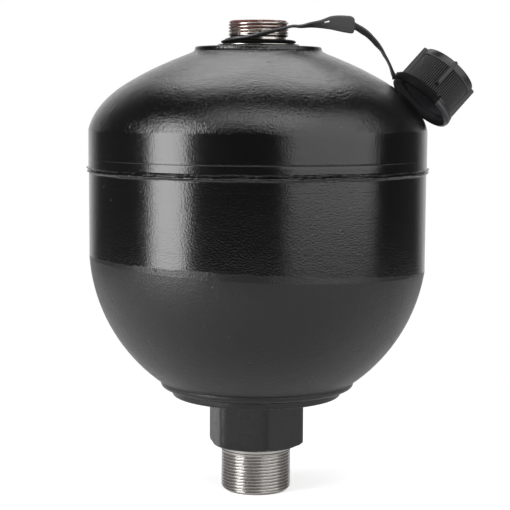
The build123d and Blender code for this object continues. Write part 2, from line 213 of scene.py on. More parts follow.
def make_floor():
    mesh = bpy.data.meshes.new("floor")
    bm = bmesh.new()
    bmesh.ops.create_circle(bm, cap_ends=True, radius=floor_r, segments=96)
    bm.to_mesh(mesh)
    bm.free()
    mesh.materials.append(white_paper())
    floor = new_object("floor", mesh)


# --- Materials ----------------------------------------------------------------------------
def new_material(name, colour, roughness, metallic=0.0):
    material = bpy.data.materials.new(name)
    material.use_nodes = True
    shader = material.node_tree.nodes["Principled BSDF"]
    shader.inputs["Base Color"].default_value = linear(colour)
    shader.inputs["Roughness"].default_value = roughness
    shader.inputs["Metallic"].default_value = metallic
    return material, material.node_tree, shader


def lumps(where, size, detail):
    """Inputs of a noise whose lumps are about size millimetres across."""
    return {"Vector": where, "Scale": 1 / (size * MM), "Detail": detail, "Roughness": 0.55}


def centred_noise(tree, where, size, detail):
    """The same noise, moved down to lie about zero."""
    return add(tree, MATHS, MINUS, {0: add(tree, NOISE, inputs=lumps(where, size, detail)), 1: 0.5})


# Black solvent enamel, sprayed. Over turned steel it levels out to a semi-gloss skin with a
# very fine orange peel. Over the scaled forging it keeps the lumps below it, so highlights
# break up into glints, and overspray leaves it duller. The steel is turned between two heights,
# and lean tilts those lines along X and Y, where the forging sits off the axis.
def black_enamel(name, turned_heights, lean, peel_mm, peel_size, forged_roughness, forged_colour):
    material, tree, shader = new_material(name, "#0c0c0d", 0.2)
    where = add(tree, PLACE).outputs["Object"]
    x, y, z = add(tree, SPLIT, inputs={0: where}).outputs
    ragged = add(tree, MATHS, TIMES, {0: centred_noise(tree, where, 6, 2.0), 1: 1.6 * MM})
    tilted = add(tree, MATHS, TIMES_PLUS, {0: x, 1: lean[0], 2: ragged})
    tilted = add(tree, MATHS, TIMES_PLUS, {0: y, 1: lean[1], 2: tilted})
    height = add(tree, MATHS, MINUS, {0: z, 1: tilted})
    low, high, edge = turned_heights[0] * MM, turned_heights[1] * MM, 0.15 * MM
    above = add(tree, RANGE,
                inputs={"Value": height, "From Min": low - edge, "From Max": low + edge})
    below = add(tree, RANGE,
                inputs={"Value": height, "From Min": high + edge, "From Max": high - edge})
    turned = add(tree, MATHS, TIMES, {0: above, 1: below})
    # Small pale grey specks in the paint's colour.
    speck = add(tree, NOISE, inputs={"Vector": where, "Scale": 700, "Detail": 1.0})
    pale_specks = add(tree, RANGE, inputs={"Value": speck, "From Min": 0.775, "From Max": 0.81})
    paint = add(tree, MIX, COLOURS, {0: turned, 6: linear(forged_colour), 7: linear("#090909")})
    colour = add(tree, MIX, COLOURS, {0: pale_specks, 6: paint.outputs[2], 7: linear("#3c3c3d")})
    tree.links.new(colour.outputs[2], shader.inputs["Base Color"])
    patches = add(tree, NOISE, inputs=lumps(where, 14, 3.0))
    dull = add(tree, MATHS, TIMES_PLUS, {0: patches, 1: 0.14, 2: forged_roughness - 0.07})
    gloss = add(tree, MATHS, TIMES_PLUS, {0: patches, 1: 0.05, 2: 0.150})
    rough = add(tree, MIX, inputs={0: turned, 2: dull, 3: gloss})
    tree.links.new(rough.outputs[0], shader.inputs["Roughness"])
    # Over turned steel: orange peel, slow waves and a faint line left by the tool below the weld.
    waves = add(tree, MATHS, TIMES, {0: centred_noise(tree, where, 0.75, 1.0), 1: 0.065 * MM})
    sag = centred_noise(tree, where, 9, 1.0)
    waves = add(tree, MATHS, TIMES_PLUS, {0: sag, 1: 0.06 * MM, 2: waves})
    from_line = add(tree, MATHS, MINUS, {0: z, 1: (weld_z - 7.0) * MM})
    from_line = add(tree, MATHS, {"operation": "ABSOLUTE"}, {0: from_line})
    near = add(tree, RANGE, SMOOTH, {"Value": from_line, "From Min": 0.35 * MM, "From Max": 0.0})
    waves = add(tree, MATHS, TIMES_PLUS, {0: near, 1: -0.010 * MM, 2: waves})
    # Over the forging: its scale, hammered lumps, and short shallow nicks from handling.
    crust = centred_noise(tree, where, peel_size, 2.0)
    hammered = centred_noise(tree, where, 7, 2.0)
    scale = add(tree, MATHS, TIMES, {0: crust, 1: peel_mm * MM})
    scale = add(tree, MATHS, TIMES_PLUS, {0: hammered, 1: 0.16 * MM, 2: scale})
    nick = add(tree, NOISE, inputs={"Vector": where, "Scale": 240, "Detail": 0.0})
    dent = add(tree, RANGE, inputs={"Value": nick, "From Min": 0.80, "From Max": 0.86})
    scale = add(tree, MATHS, TIMES_PLUS, {0: dent, 1: -0.12 * MM, 2: scale})
    relief = add(tree, MIX, inputs={0: turned, 2: scale, 3: waves})
    bump = add(tree, BUMP, inputs={"Height": relief, "Distance": 1.0})
    tree.links.new(bump.outputs[0], shader.inputs["Normal"])
    return material


# Free-cutting steel, turned with a pointed tool and left bare: bright, with rings from the
# tool. A tool's feed is too fine to show, so the rings are drawn about half a millimetre apart.
# Where a film colour is given, oil and rust lie below the crests of the thread.
def turned_steel(name, colour, roughness, crest_r=None, film=None):
    material, tree, shader = new_material(name, colour, roughness, 1.0)
    where = add(tree, PLACE).outputs["Object"]
    z = add(tree, SPLIT, inputs={0: where}).outputs["Z"]
    rings = add(tree, NOISE, {"noise_dimensions": "1D"},
                {"W": z, "Scale": 1 / (0.5 * MM), "Detail": 1.0})
    cloud = add(tree, NOISE, inputs=lumps(where, 2.2, 3.0))
    worn = add(tree, MATHS, TIMES_PLUS, {0: cloud, 1: 0.12, 2: roughness - 0.06})
    base = add(tree, MIX, COLOURS, {0: cloud, 6: linear(colour), 7: linear("#a5a29e")})
    if film:
        flat = add(tree, VECTOR, TIMES, {0: where, 1: (1, 1, 0)})
        radius = add(tree, VECTOR, LENGTH, {0: flat}).outputs["Value"]
        valley = add(tree, RANGE, inputs={"Value": radius, "From Min": (crest_r - 0.18) * MM,
                                          "From Max": (crest_r - 0.45) * MM})
        # Little of it reaches the lowest turns.
        lowest = add(tree, RANGE, inputs={"Value": z, "From Min": (stub_thread_z + 0.8) * MM,
                                          "From Max": (stub_thread_z + 3.2) * MM,
                                          "To Min": -0.25, "To Max": 0.06})
        pooled = add(tree, NOISE, inputs=lumps(where, 3.5, 2.0))
        pooled = add(tree, MATHS, PLUS, {0: pooled, 1: lowest})
        thick = add(tree, RANGE, inputs={"Value": pooled, "From Min": 0.32, "From Max": 0.56})
        stained = add(tree, MATHS, TIMES, {0: valley, 1: thick})
        base = add(tree, MIX, COLOURS, {0: stained, 6: base.outputs[2], 7: linear(film)})
        worn = add(tree, MIX, inputs={0: stained, 2: worn, 3: 0.5})
        hidden = add(tree, MATHS, TIMES, {0: stained, 1: 0.7})
        bare = add(tree, MATHS, MINUS, {0: 1.0, 1: hidden})
        tree.links.new(bare.outputs[0], shader.inputs["Metallic"])
    tree.links.new(base.outputs[2], shader.inputs["Base Color"])
    tree.links.new(worn.outputs[0], shader.inputs["Roughness"])
    relief = add(tree, MATHS, TIMES, {0: rings, 1: 0.008 * MM})
    bump = add(tree, BUMP, inputs={"Height": relief, "Distance": 1.0})
    tree.links.new(bump.outputs[0], shader.inputs["Normal"])
    return material


# Polyethylene, injection moulded in an eroded tool: silky, with an even spark texture and
# slight clouding from handling. The real texture is too fine to show, so it is drawn coarser.
def moulded_plastic(name, colour, worn_colour, roughness, shine=0.5):
    material, tree, shader = new_material(name, colour, roughness)
    shader.inputs["Specular IOR Level"].default_value = shine
    where = add(tree, PLACE).outputs["Object"]
    cloud = add(tree, NOISE, inputs=lumps(where, 5, 3.0))
    base = add(tree, MIX, COLOURS, {0: cloud, 6: linear(colour), 7: linear(worn_colour)})
    tree.links.new(base.outputs[2], shader.inputs["Base Color"])
    worn = add(tree, MATHS, TIMES_PLUS, {0: cloud, 1: 0.2, 2: roughness - 0.1})
    tree.links.new(worn.outputs[0], shader.inputs["Roughness"])
    spark = add(tree, NOISE, inputs=lumps(where, 0.35, 2.0))
    relief = add(tree, MATHS, TIMES, {0: spark, 1: 0.03 * MM})
    bump = add(tree, BUMP, inputs={"Height": relief, "Distance": 1.0})
    tree.links.new(bump.outputs[0], shader.inputs["Normal"])
    return material


# Nitrile rubber, compression moulded: matt black with a slightly mottled bloom.
def nitrile_rubber(name):
    material, tree, shader = new_material(name, "#151515", 0.72)
    where = add(tree, PLACE).outputs["Object"]
    bloom = add(tree, NOISE, inputs=lumps(where, 9, 4.0))
    base = add(tree, MIX, COLOURS, {0: bloom, 6: linear("#101010"), 7: linear("#232323")})
    tree.links.new(base.outputs[2], shader.inputs["Base Color"])
    skin = add(tree, NOISE, inputs=lumps(where, 1.2, 2.0))
    relief = add(tree, MATHS, TIMES, {0: skin, 1: 0.05 * MM})
    bump = add(tree, BUMP, inputs={"Height": relief, "Distance": 1.0})
    tree.links.new(bump.outputs[0], shader.inputs["Normal"])
    return material


# --- Mesh tools ---------------------------------------------------------------------------
def new_object(name, mesh):
    obj = bpy.data.objects.new(name, mesh)
    bpy.context.scene.collection.objects.link(obj)
    return obj


def finish_mesh(bm, name, materials, sharp):
    """Mesh object with outward faces, smooth shading and sharp edges above the given angle."""
    bmesh.ops.remove_doubles(bm, verts=bm.verts, dist=0.002 * MM)
    bmesh.ops.recalc_face_normals(bm, faces=bm.faces)
    mesh = bpy.data.meshes.new(name)
    bm.to_mesh(mesh)
    bm.free()
    mesh.polygons.foreach_set("use_smooth", [True] * len(mesh.polygons))
    mesh.set_sharp_from_angle(angle=math.radians(sharp))
    for material in materials:
        mesh.materials.append(material)
    return new_object(name, mesh)


def turn(bm, profile, segments, start=0.0, shape=None, tag=None):
    """Turns a closed outline of (radius, height) points about Z into bm. shape(radius, height,
    angle) may reshape it. tag(radius, height) gives a face's material number."""
    rings = []
    for r, z in profile:
        ring = []
        for i in range(segments):
            angle = math.radians(start) + 2 * math.pi * i / segments
            rr, zz = shape(r, z, angle) if shape else (r, z)
            place = (rr * math.cos(angle) * MM, rr * math.sin(angle) * MM, zz * MM)
            ring.append(bm.verts.new(place))
        rings.append(ring)
    ends = zip(profile, profile[1:] + profile[:1], rings, rings[1:] + rings[:1])
    for (r0, z0), (r1, z1), low, high in ends:
        for i in range(segments):
            n = (i + 1) % segments
            face = bm.faces.new((low[i], low[n], high[n], high[i]))
            if tag:
                face.material_index = tag((r0 + r1) / 2, (z0 + z1) / 2)


def steps(a, b, size):
    """Evenly spaced numbers from a to b, about size apart."""
    count = max(1, round(abs(b - a) / size))
    return [a + (b - a) * i / count for i in range(count + 1)]


def arc(cx, cz, r, first, last, count=5):
    """Points of an arc in the (radius, height) plane."""
    return [(cx + r * math.cos(math.radians(a)), cz + r * math.sin(math.radians(a)))
            for a in (first + (last - first) * i / count for i in range(count + 1))]


def make_solid(obj, tree, values):
    """Runs a Geometry Nodes tree on obj and keeps the result as obj's plain mesh."""
    modifier = obj.modifiers.new(tree.name, "NODES")
    modifier.node_group = tree
    for item in tree.interface.items_tree:
        if item.item_type == "SOCKET" and item.in_out == "INPUT" and item.name in values:
            modifier[item.identifier] = values[item.name]
    obj.update_tag()
    depsgraph = bpy.context.evaluated_depsgraph_get()
    mesh = bpy.data.meshes.new_from_object(obj.evaluated_get(depsgraph), depsgraph=depsgraph)
    old = obj.data
    obj.modifiers.remove(modifier)
    mesh.name = old.name
    obj.data = mesh
    bpy.data.meshes.remove(old)


def new_tree(name, sockets):
    """Geometry Nodes tree with named inputs: (name, socket type, default)."""
    tree = bpy.data.node_groups.new(name, "GeometryNodeTree")
    tree.interface.new_socket("Geometry", in_out="INPUT", socket_type="NodeSocketGeometry")
    for label, kind, default in sockets:
        socket = tree.interface.new_socket(label, in_out="INPUT", socket_type=kind)
        if default is not None:
            socket.default_value = default
    tree.interface.new_socket("Geometry", in_out="OUTPUT", socket_type="NodeSocketGeometry")
    given = tree.nodes.new("NodeGroupInput")
    return tree, given.outputs


def thread_tree():
    """Cuts a right-handed thread into a turned blank: each point moves in or out by its place
    along the helix. Outward is 1 for a male thread and -1 for a female one."""
    length = "NodeSocketFloat"
    tree, given = new_tree("screw_thread", (
        ("Blank Radius", length, 0.014), ("Pitch", length, 0.0015), ("Depth", length, 0.0009),
        ("Lowest", length, 0.0), ("Highest", length, 0.01), ("Outward", length, 1.0),
        ("Material", "NodeSocketMaterial", None)))
    x, y, z = add(tree, SPLIT, inputs={0: add(tree, "GeometryNodeInputPosition")}).outputs
    angle = add(tree, MATHS, {"operation": "ARCTAN2"}, {0: y, 1: x})
    angle = add(tree, MATHS, OVER, {0: angle, 1: 2 * math.pi})
    along = add(tree, MATHS, OVER, {0: z, 1: given["Pitch"]})
    turns = add(tree, MATHS, MINUS, {0: along, 1: angle})
    wave = add(tree, MATHS, {"operation": "PINGPONG"}, {0: turns, 1: 0.5})
    cut = add(tree, RANGE, inputs={"Value": wave, "From Min": crest_end, "From Max": root_start})
    # The thread runs in and out over one pitch at each end.
    run = {"operation": "DIVIDE", "use_clamp": True}
    above = add(tree, MATHS, MINUS, {0: z, 1: given["Lowest"]})
    below = add(tree, MATHS, MINUS, {0: given["Highest"], 1: z})
    enter = add(tree, MATHS, run, {0: above, 1: given["Pitch"]})
    leave = add(tree, MATHS, run, {0: below, 1: given["Pitch"]})
    fade = add(tree, MATHS, TIMES, {0: enter, 1: leave})
    wanted = add(tree, MATHS, TIMES, {0: cut, 1: fade})
    wanted = add(tree, MATHS, TIMES, {0: wanted, 1: given["Depth"]})
    # What the blank lacks already, such as its chamfer, isn't cut again.
    flat = add(tree, UNITE, inputs={0: x, 1: y})
    radius = add(tree, VECTOR, LENGTH, {0: flat}).outputs["Value"]
    gone = add(tree, MATHS, MINUS, {0: given["Blank Radius"], 1: radius})
    gone = add(tree, MATHS, TIMES, {0: gone, 1: given["Outward"]})
    more = add(tree, MATHS, MINUS, {0: wanted, 1: gone})
    more = add(tree, MATHS, {"operation": "MAXIMUM"}, {0: more, 1: 0.0})
    inwards = add(tree, MATHS, TIMES, {0: more, 1: given["Outward"]})
    inwards = add(tree, MATHS, TIMES, {0: inwards, 1: -1.0})
    radial = add(tree, VECTOR, UNIT, {0: flat})
    move = add(tree, VECTOR, {"operation": "SCALE"}, {0: radial, "Scale": inwards})
    away = add(tree, MATHS, {"operation": "ABSOLUTE"}, {0: gone})
    near = add(tree, MATHS, {"operation": "LESS_THAN"}, {0: away, 1: 1.8 * MM})
    over = add(tree, MATHS, {"operation": "GREATER_THAN"}, {0: z, 1: given["Lowest"]})
    under = add(tree, MATHS, {"operation": "LESS_THAN"}, {0: z, 1: given["Highest"]})
    inside = add(tree, MATHS, TIMES, {0: over, 1: under})
    chosen = add(tree, MATHS, TIMES, {0: near, 1: inside})
    threaded = add(tree, "GeometryNodeSetPosition", inputs={
        "Geometry": given["Geometry"], "Selection": chosen, "Offset": move})
    whole = add(tree, "GeometryNodeRealizeInstances", inputs={0: threaded})
    whole = add(tree, "GeometryNodeSetMaterial", inputs={
        "Geometry": whole, "Selection": chosen, "Material": given["Material"]})
    add(tree, "NodeGroupOutput", inputs={0: whole})
    return tree


def rib_tree():
    """Sets equal round-topped ribs side by side round a barrel that stands on Z."""
    size = "NodeSocketFloat"
    tree, given = new_tree("grip_ribs", (
        ("Count", "NodeSocketInt", 80), ("Radius", size, 0.0132), ("Rib Radius", size, 0.0003),
        ("Lowest", size, 0.0046), ("Highest", size, 0.0198), ("Material", "NodeSocketMaterial", None)))
    circle = add(tree, "GeometryNodeMeshCircle",
                 inputs={"Vertices": given["Count"], "Radius": given["Radius"]})
    raised = add(tree, UNITE, inputs={2: given["Lowest"]})
    points = add(tree, "GeometryNodeSetPosition", inputs={"Geometry": circle, "Offset": raised})
    tall = add(tree, MATHS, MINUS, {0: given["Highest"], 1: given["Lowest"]})
    end = add(tree, UNITE, inputs={2: tall})
    line = add(tree, "GeometryNodeCurvePrimitiveLine", inputs={"End": end})
    section = add(tree, "GeometryNodeCurvePrimitiveCircle",
                  inputs={"Resolution": 8, "Radius": given["Rib Radius"]})
    rib = add(tree, "GeometryNodeCurveToMesh",
              inputs={"Curve": line, "Profile Curve": section, "Fill Caps": True})
    turn_step = add(tree, MATHS, OVER, {0: 2 * math.pi, 1: given["Count"]})
    index = add(tree, "GeometryNodeInputIndex")
    angle = add(tree, MATHS, TIMES, {0: turn_step, 1: index})
    turned_by = add(tree, UNITE, inputs={2: angle})
    ribs = add(tree, "GeometryNodeInstanceOnPoints",
               inputs={"Points": points, "Instance": rib, "Rotation": turned_by})
    # The barrel keeps its own materials, so it joins the ribs after they have theirs.
    ribs = add(tree, "GeometryNodeSetMaterial",
               inputs={"Geometry": ribs, "Material": given["Material"]})
    both = add(tree, "GeometryNodeJoinGeometry", inputs={0: ribs})
    tree.links.new(given["Geometry"], both.inputs[0])
    whole = add(tree, "GeometryNodeRealizeInstances", inputs={0: both})
    add(tree, "NodeGroupOutput", inputs={0: whole})
    return tree


# --- Pieces -------------------------------------------------------------------------------
def hexagon(r, z, angle):
    """Draws the points between the relief and the flange in to the hexagon's flats."""
    if not hex_z - 0.01 < z < flange_z - 0.01 or r < relief_r + 1.2 or r > hex_af:
        return r, z
    part = math.radians(((math.degrees(angle) - hex_turn) % 60) - 30)
    flat, corner = hex_af / 2 / math.cos(part), hex_af / 2 / math.cos(math.radians(30)) - 0.45
    rounded = -math.log(math.exp(-2.5 * flat) + math.exp(-2.5 * corner)) / 2.5
    return min(r, rounded), z


def make_fluid_port(thread, paint, steel):
    """Turned port: bare thread and relief below, painted hexagon and flange above."""
    corner = hex_af / 2 / math.cos(math.radians(30))
    cone = lambda z: port_thread_r - max(0.0, port_chamfer - z)
    profile = [(bore_r + 1.3, 0.0)]
    profile += [(cone(z), z) for z in steps(0, port_thread_h, 0.15)]
    profile += [(collar_r - 0.5, port_thread_h + 0.1), (collar_r, port_thread_h + 0.4),
                (collar_r, hex_z)]
    profile += [(hex_af / 2 - 0.3, hex_z), (hex_af / 2 + 0.1, hex_z + 0.1),
                ((hex_af / 2 + corner) / 2 + 0.1, hex_z + 0.7), (corner - 0.2, hex_z + 1.5)]
    profile += [(corner, z) for z in steps(hex_z + 1.9, flange_z - 2.4, 3.0)]
    profile += [(corner, flange_z - 1.2), (corner + 0.3, flange_z - 0.5), (corner + 1.2, flange_z)]
    profile += [(flange_r - 0.9, flange_z)] + arc(flange_r - 0.8, flange_z + 0.8, 0.8, -75, 0, 4)
    profile += [(flange_r, lip_z),
                (spigot_r, lip_z), (spigot_r, spigot_top_z), (passage_r, spigot_top_z),
                (passage_r, bore_h), (bore_r, bore_h)]
    profile += [(max(bore_r, bore_r + 1.3 - z), z) for z in steps(bore_h, 0, 0.22)[1:-1]]
    bm = bmesh.new()
    turn(bm, profile, 240, hex_turn, shape=hexagon, tag=lambda r, z: int(z < hex_z + 0.02))
    port = finish_mesh(bm, "threaded_fluid_port", [paint, steel], 24)
    make_solid(port, thread, {"Blank Radius": port_thread_r * MM, "Pitch": thread_pitch * MM,
                              "Depth": thread_depth * MM, "Lowest": -1.0 * MM,
                              "Highest": port_thread_h * MM, "Outward": 1.0, "Material": steel})
    make_solid(port, thread, {"Blank Radius": bore_r * MM, "Pitch": bore_pitch * MM,
                              "Depth": bore_depth * MM, "Lowest": -1.0 * MM,
                              "Highest": (bore_h - 1.5) * MM, "Outward": -1.0,
                              "Material": steel})
    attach(port, "vessel")
    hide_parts("fluid_port")


def make_gas_stub(thread, steel):
    """Turned stub: thin flange, neck and bare thread, bored for the charging screw."""
    low, top = stub_thread_z + 0.5, stub_end_z - 0.6
    cone = lambda z: stub_r - 1.3 * max(0.0, z - (top - 0.9))
    profile = [(gas_r, boss_z - 11.0), (stub_spigot_r, boss_z - 11.0), (stub_spigot_r, boss_z),
               (stub_flange_r - 0.1, boss_z)]
    profile += arc(stub_flange_r - 0.3, neck_z - 0.3, 0.3, 0, 90, 3)
    profile += [(stub_neck_r + 0.4, neck_z), (stub_neck_r, neck_z + 0.4), (stub_neck_r, low - 0.8)]
    profile += [(cone(z), z) for z in steps(low, top, 0.14)]
    profile += [(head_r + 0.5, top), (head_r, top - 0.5), (head_r, seat_z),
                (shank_r, seat_z), (shank_r, shank_z), (gas_r, shank_z)]
    bm = bmesh.new()
    turn(bm, profile, 192)
    stub = finish_mesh(bm, "threaded_gas_stub", [steel], 24)
    make_solid(stub, thread, {"Blank Radius": stub_r * MM, "Pitch": thread_pitch * MM,
                              "Depth": thread_depth * MM, "Lowest": (low - 0.4) * MM,
                              "Highest": (stub_end_z + 1.4) * MM, "Outward": 1.0,
                              "Material": steel})
    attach(stub, "vessel")
    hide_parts("gas_stub")


def dome_lift(r):
    """How far the forging swells over the half ellipse on its way up to the boss."""
    return lift_h * min(1.0, max(0.0, (lift_r - r) / (lift_r - boss_r))) ** lift_power


def make_upper_shell(paint):
    """Gas-side forging: turned band, forged dome swelling to its boss, bored for the stub."""
    over = lambda r, full_r, h: dome_base_z + h * math.sqrt(max(0.0, 1 - (r / full_r) ** 2))
    profile = [(band_r, z) for z in steps(weld_top_z, scribe_z - 0.25, 1.0)]
    profile += [(band_r - scribe_depth, scribe_z - 0.05), (band_r - scribe_depth, scribe_z + 0.05),
                (band_r, scribe_z + 0.25)]
    profile += [(band_r, z) for z in steps(scribe_z + 1.0, 170.0, 2.0)]
    shoulder = math.radians(6.6)        # where the dome comes inside the band
    count = 60
    for k in range(count):
        angle = shoulder + (math.pi / 2 - shoulder) * k / count
        r = min(band_r, dome_r * math.cos(angle))
        if r > boss_r + 2.0:
            profile.append((r, over(dome_r * math.cos(angle), dome_r, dome_h) + dome_lift(r)))
    foot = over(boss_r + 0.9, dome_r, dome_h) + dome_lift(boss_r + 0.9)
    # The boss's side flares into the dome and has a rounded rim.
    profile += [(boss_r + 1.3, foot + 0.02), (boss_r + 0.75, foot + 0.28),
                (boss_r + 0.35, foot + 0.7), (boss_r + 0.15, foot + 1.15)]
    profile += arc(boss_r - 0.85, boss_z - 0.9, 0.9, 0, 90, 6)
    profile += [(stub_spigot_r, boss_z)]
    profile += [(r, over(r, inner_r, inner_dome_h))
                for r in steps(stub_spigot_r, inner_r - 0.5, 2.5)]
    profile += [(inner_r, dome_base_z), (inner_r, ring_top_z), (seat_r, ring_top_z),
                (seat_r, weld_top_z)]
    bm = bmesh.new()
    turn(bm, profile, 240)
    shell = finish_mesh(bm, "upper_forging", [paint], 40)
    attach(shell, "vessel")
    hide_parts("upper_shell")


def weld_height(angle, z):
    """Height of the weld over the band at one place: two ragged lips with a furrow between."""
    x, y = math.cos(angle) * band_r, math.sin(angle) * band_r
    slow = noise.noise(Vector((x, y, z)) / 9.0)
    quick = noise.fractal(Vector((x, y, z * 2)) / 1.6, 1.0, 2.0, 3)
    sway = 0.35 * noise.noise(Vector((x, y, 40)) / 11.0)
    upper = math.exp(-((z - 0.55 - sway) / 0.42) ** 2) * (1.05 + 0.5 * slow + 0.55 * quick)
    lower = math.exp(-((z + 0.85 - sway) / 0.55) ** 2) * (0.85 + 0.35 * slow + 0.35 * quick)
    film = 0.14 + 0.12 * quick if -1.75 - 0.6 * slow < z else -0.3
    return max(upper, lower, film if z < 1.0 + sway else -0.35)


def make_girth_weld(paint):
    """Friction-welded flash round the girth, dressed and painted."""
    heights = steps(weld_low, weld_high, weld_step)
    profile = [(lower_band_r, z) for z in heights]
    profile += [(weld_back_r, heights[-1]), (weld_back_r, heights[0])]

    def flash(r, z, angle):
        """Roughens the outside and moves the whole up to the weld."""
        return r + (weld_height(angle, z) if r > weld_back_r else 0.0), weld_z + z

    bm = bmesh.new()
    turn(bm, profile, 900, shape=flash)
    weld = finish_mesh(bm, "girth_weld_flash", [paint], 60)
    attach(weld, "vessel")
    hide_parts("girth_weld")


def cap_place():
    """Matrix from the cap's own frame, axis on Z from the mouth, to its place on the tether."""
    joint = next(j for j in frame["joints"] if j["name"] == "cap_turn")
    axis = Vector(joint["axis"]).normalized()
    mouth = Vector(joint["pos_m"]) - axis * 2.0 * MM
    across = Vector((axis.z, 0, -axis.x)).normalized()
    return Matrix.LocRotScale(mouth, Matrix((across, axis.cross(across), axis)).transposed(), None)


def make_fin(bm, angle, low):
    """One grip fin with rounded edges, tapered at its lower end when it starts on the barrel."""
    toe = low + (fin_r - fin_root) * (0.5 if low > cap_skirt_h + 0.5 else 0.0)
    outline = [(fin_root, low), (fin_r, toe), (fin_r, cap_h - 0.3), (fin_r - 0.3, cap_h),
               (fin_root, cap_h)]
    part = bmesh.new()
    side = [part.verts.new((r * MM, -fin_t / 2 * MM, z * MM)) for r, z in outline]
    face = part.faces.new(side)
    top = bmesh.ops.extrude_face_region(part, geom=[face])
    moved = [v for v in top["geom"] if isinstance(v, bmesh.types.BMVert)]
    bmesh.ops.translate(part, verts=moved, vec=(0, fin_t * MM, 0))
    edges = [e for e in part.edges if min(v.co.x for v in e.verts) > (fin_root + 0.1) * MM]
    bmesh.ops.bevel(part, geom=edges, offset=0.38 * MM, segments=3, affect="EDGES")
    round_cap = Matrix.Rotation(math.radians(angle), 3, "Z")
    bmesh.ops.rotate(part, verts=part.verts, cent=(0, 0, 0), matrix=round_cap)
    mesh = bpy.data.meshes.new("fin")
    part.to_mesh(mesh)
    part.free()
    bm.from_mesh(mesh)
    bpy.data.meshes.remove(mesh)


def make_cap(ribs, plastic, lit_inside, black):
    """Moulded cap: smooth skirt with the tether's groove, ribbed barrel and four grip fins."""
    valley = cap_barrel_r - 0.62
    profile = [(cap_thread_r + 0.6, 0.5), (cap_thread_r + 0.9, 0.0)]
    profile += arc(cap_skirt_r - 0.72, 0.72, 0.72, -90, 0)
    profile += [(cap_skirt_r, groove_low), (groove_r, groove_low), (groove_r, groove_high),
                (cap_skirt_r, groove_high)]
    profile += arc(cap_skirt_r - 0.8, cap_skirt_h - 0.8, 0.8, 0, 90)
    profile += [(valley + 0.3, cap_skirt_h), (valley, cap_skirt_h + 0.3)]
    profile += [(valley, cap_h - cap_band_h), (cap_band_r - 0.2, cap_h - cap_band_h),
                (cap_band_r, cap_h - cap_band_h + 0.2)]
    profile += arc(cap_band_r - 0.7, cap_h - 0.7, 0.7, 0, 90)
    profile += [(cap_band_r - 1.8, cap_h), (cap_band_r - 2.1, cap_h - 0.4), (1.6, cap_h - 0.4),
                (1.4, cap_h - 0.1), (0.0, cap_h - 0.1)]
    profile += [(0.0, cap_h - cap_top_t), (cap_bore_r, cap_h - cap_top_t),
                (cap_bore_r, cap_skirt_h - 0.4), (cap_thread_r + 0.6, cap_skirt_h - 0.4)]
    bm = bmesh.new()
    # The inside of the cap takes a lighter grey plastic than the outside: painted light inside the
    # mouth.
    inside = lambda r, z: r < cap_thread_r + 0.7 and z < cap_h - 2.0
    # The valleys between the ribs take the near-black plastic, darker than the cap: painted shade.
    valley_shade = lambda r, z: abs(r - valley) < 0.01 and cap_skirt_h < z < cap_h
    turn(bm, profile, 160, tag=lambda r, z: 2 if valley_shade(r, z) else int(inside(r, z)))
    for angle, low in zip((-4, 176, 86, -94), (cap_skirt_h, cap_skirt_h, short_fin_z, short_fin_z)):
        make_fin(bm, angle, low)
    cap = finish_mesh(bm, "ribbed_cap", [plastic, lit_inside, black], 38)
    make_solid(cap, ribs, {"Count": rib_count, "Radius": (cap_barrel_r - 0.32) * MM,
                           "Rib Radius": rib_r * MM,
                           "Lowest": (cap_skirt_h - 0.1) * MM,
                           "Highest": (cap_h - cap_band_h + 0.1) * MM, "Material": plastic})
    cap.data.transform(cap_place())
    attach(cap, "cap")
    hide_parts("protective_cap")


# Edges of the strap from the neck's ring to the cap: x, height and depth of its upper edge, the
# same of its lower edge, then its thickness. It turns edge-on twice on the way.
strap_edges = [
    (-15.6, 212.6, -6.5, -14.6, 211.8, -3.5, 1.2),
    (-12.4, 213.2, -13.6, -12.0, 212.2, -9.6, 1.2),
    (-6.0, 213.9, -17.2, -6.0, 212.9, -13.4, 1.1),
    (0.0, 215.2, -19.4, 0.0, 214.0, -15.6, 1.0),
    (6.0, 216.7, -19.8, 6.0, 215.6, -16.2, 1.0),
    (11.0, 217.8, -19.0, 11.0, 217.0, -16.0, 0.9),
    (15.3, 218.8, -17.8, 15.3, 218.3, -14.6, 0.9),
    (19.3, 219.0, -16.6, 19.3, 218.1, -13.4, 0.9),
    (23.7, 220.3, -15.2, 23.7, 218.3, -12.6, 0.9),
    (28.0, 221.4, -14.0, 28.0, 218.0, -12.0, 1.0),
    (30.4, 222.3, -13.4, 30.2, 217.75, -11.4, 1.0),
    (33.0, 223.3, -12.6, 33.0, 217.4, -10.8, 1.1),
    (36.5, 223.75, -11.6, 36.5, 216.7, -9.8, 1.1),
    (40.5, 223.7, -10.6, 40.5, 216.0, -8.6, 1.1),
    (42.4, 223.5, -10.1, 42.6, 215.8, -8.1, 1.1),
    (43.7, 222.7, -9.7, 43.5, 216.1, -7.9, 1.1),
    (44.2, 220.9, -9.4, 44.0, 217.4, -7.6, 1.0),
    (46.2, 219.5, -9.2, 45.2, 217.2, -6.4, 1.0),
    (48.6, 218.1, -9.0, 47.4, 215.9, -5.6, 1.0),
    (51.0, 216.3, -8.2, 49.6, 214.6, -4.8, 0.95),
    (53.4, 213.9, -7.2, 51.9, 212.8, -3.6, 0.9),
    (55.6, 211.5, -6.0, 54.2, 210.5, -2.4, 0.9),
    (57.4, 208.9, -4.8, 56.6, 208.4, -1.0, 0.85),
    (58.8, 206.4, -3.6, 58.2, 206.1, 0.4, 0.85),
    (60.4, 203.8, -2.2, 60.0, 203.6, 1.8, 0.85),
    (61.9, 201.0, -0.8, 61.5, 200.8, 3.2, 0.85),
    (62.8, 199.2, 0.4, 62.2, 198.9, 4.4, 0.9),
    (63.6, 197.75, 1.2, 62.8, 197.25, 5.4, 1.0),
    (64.2, 196.75, 1.6, 63.4, 196.05, 5.8, 1.1),
]
slot_from, slot_to = 30.0, 32.6        # the hole through the tab, along x


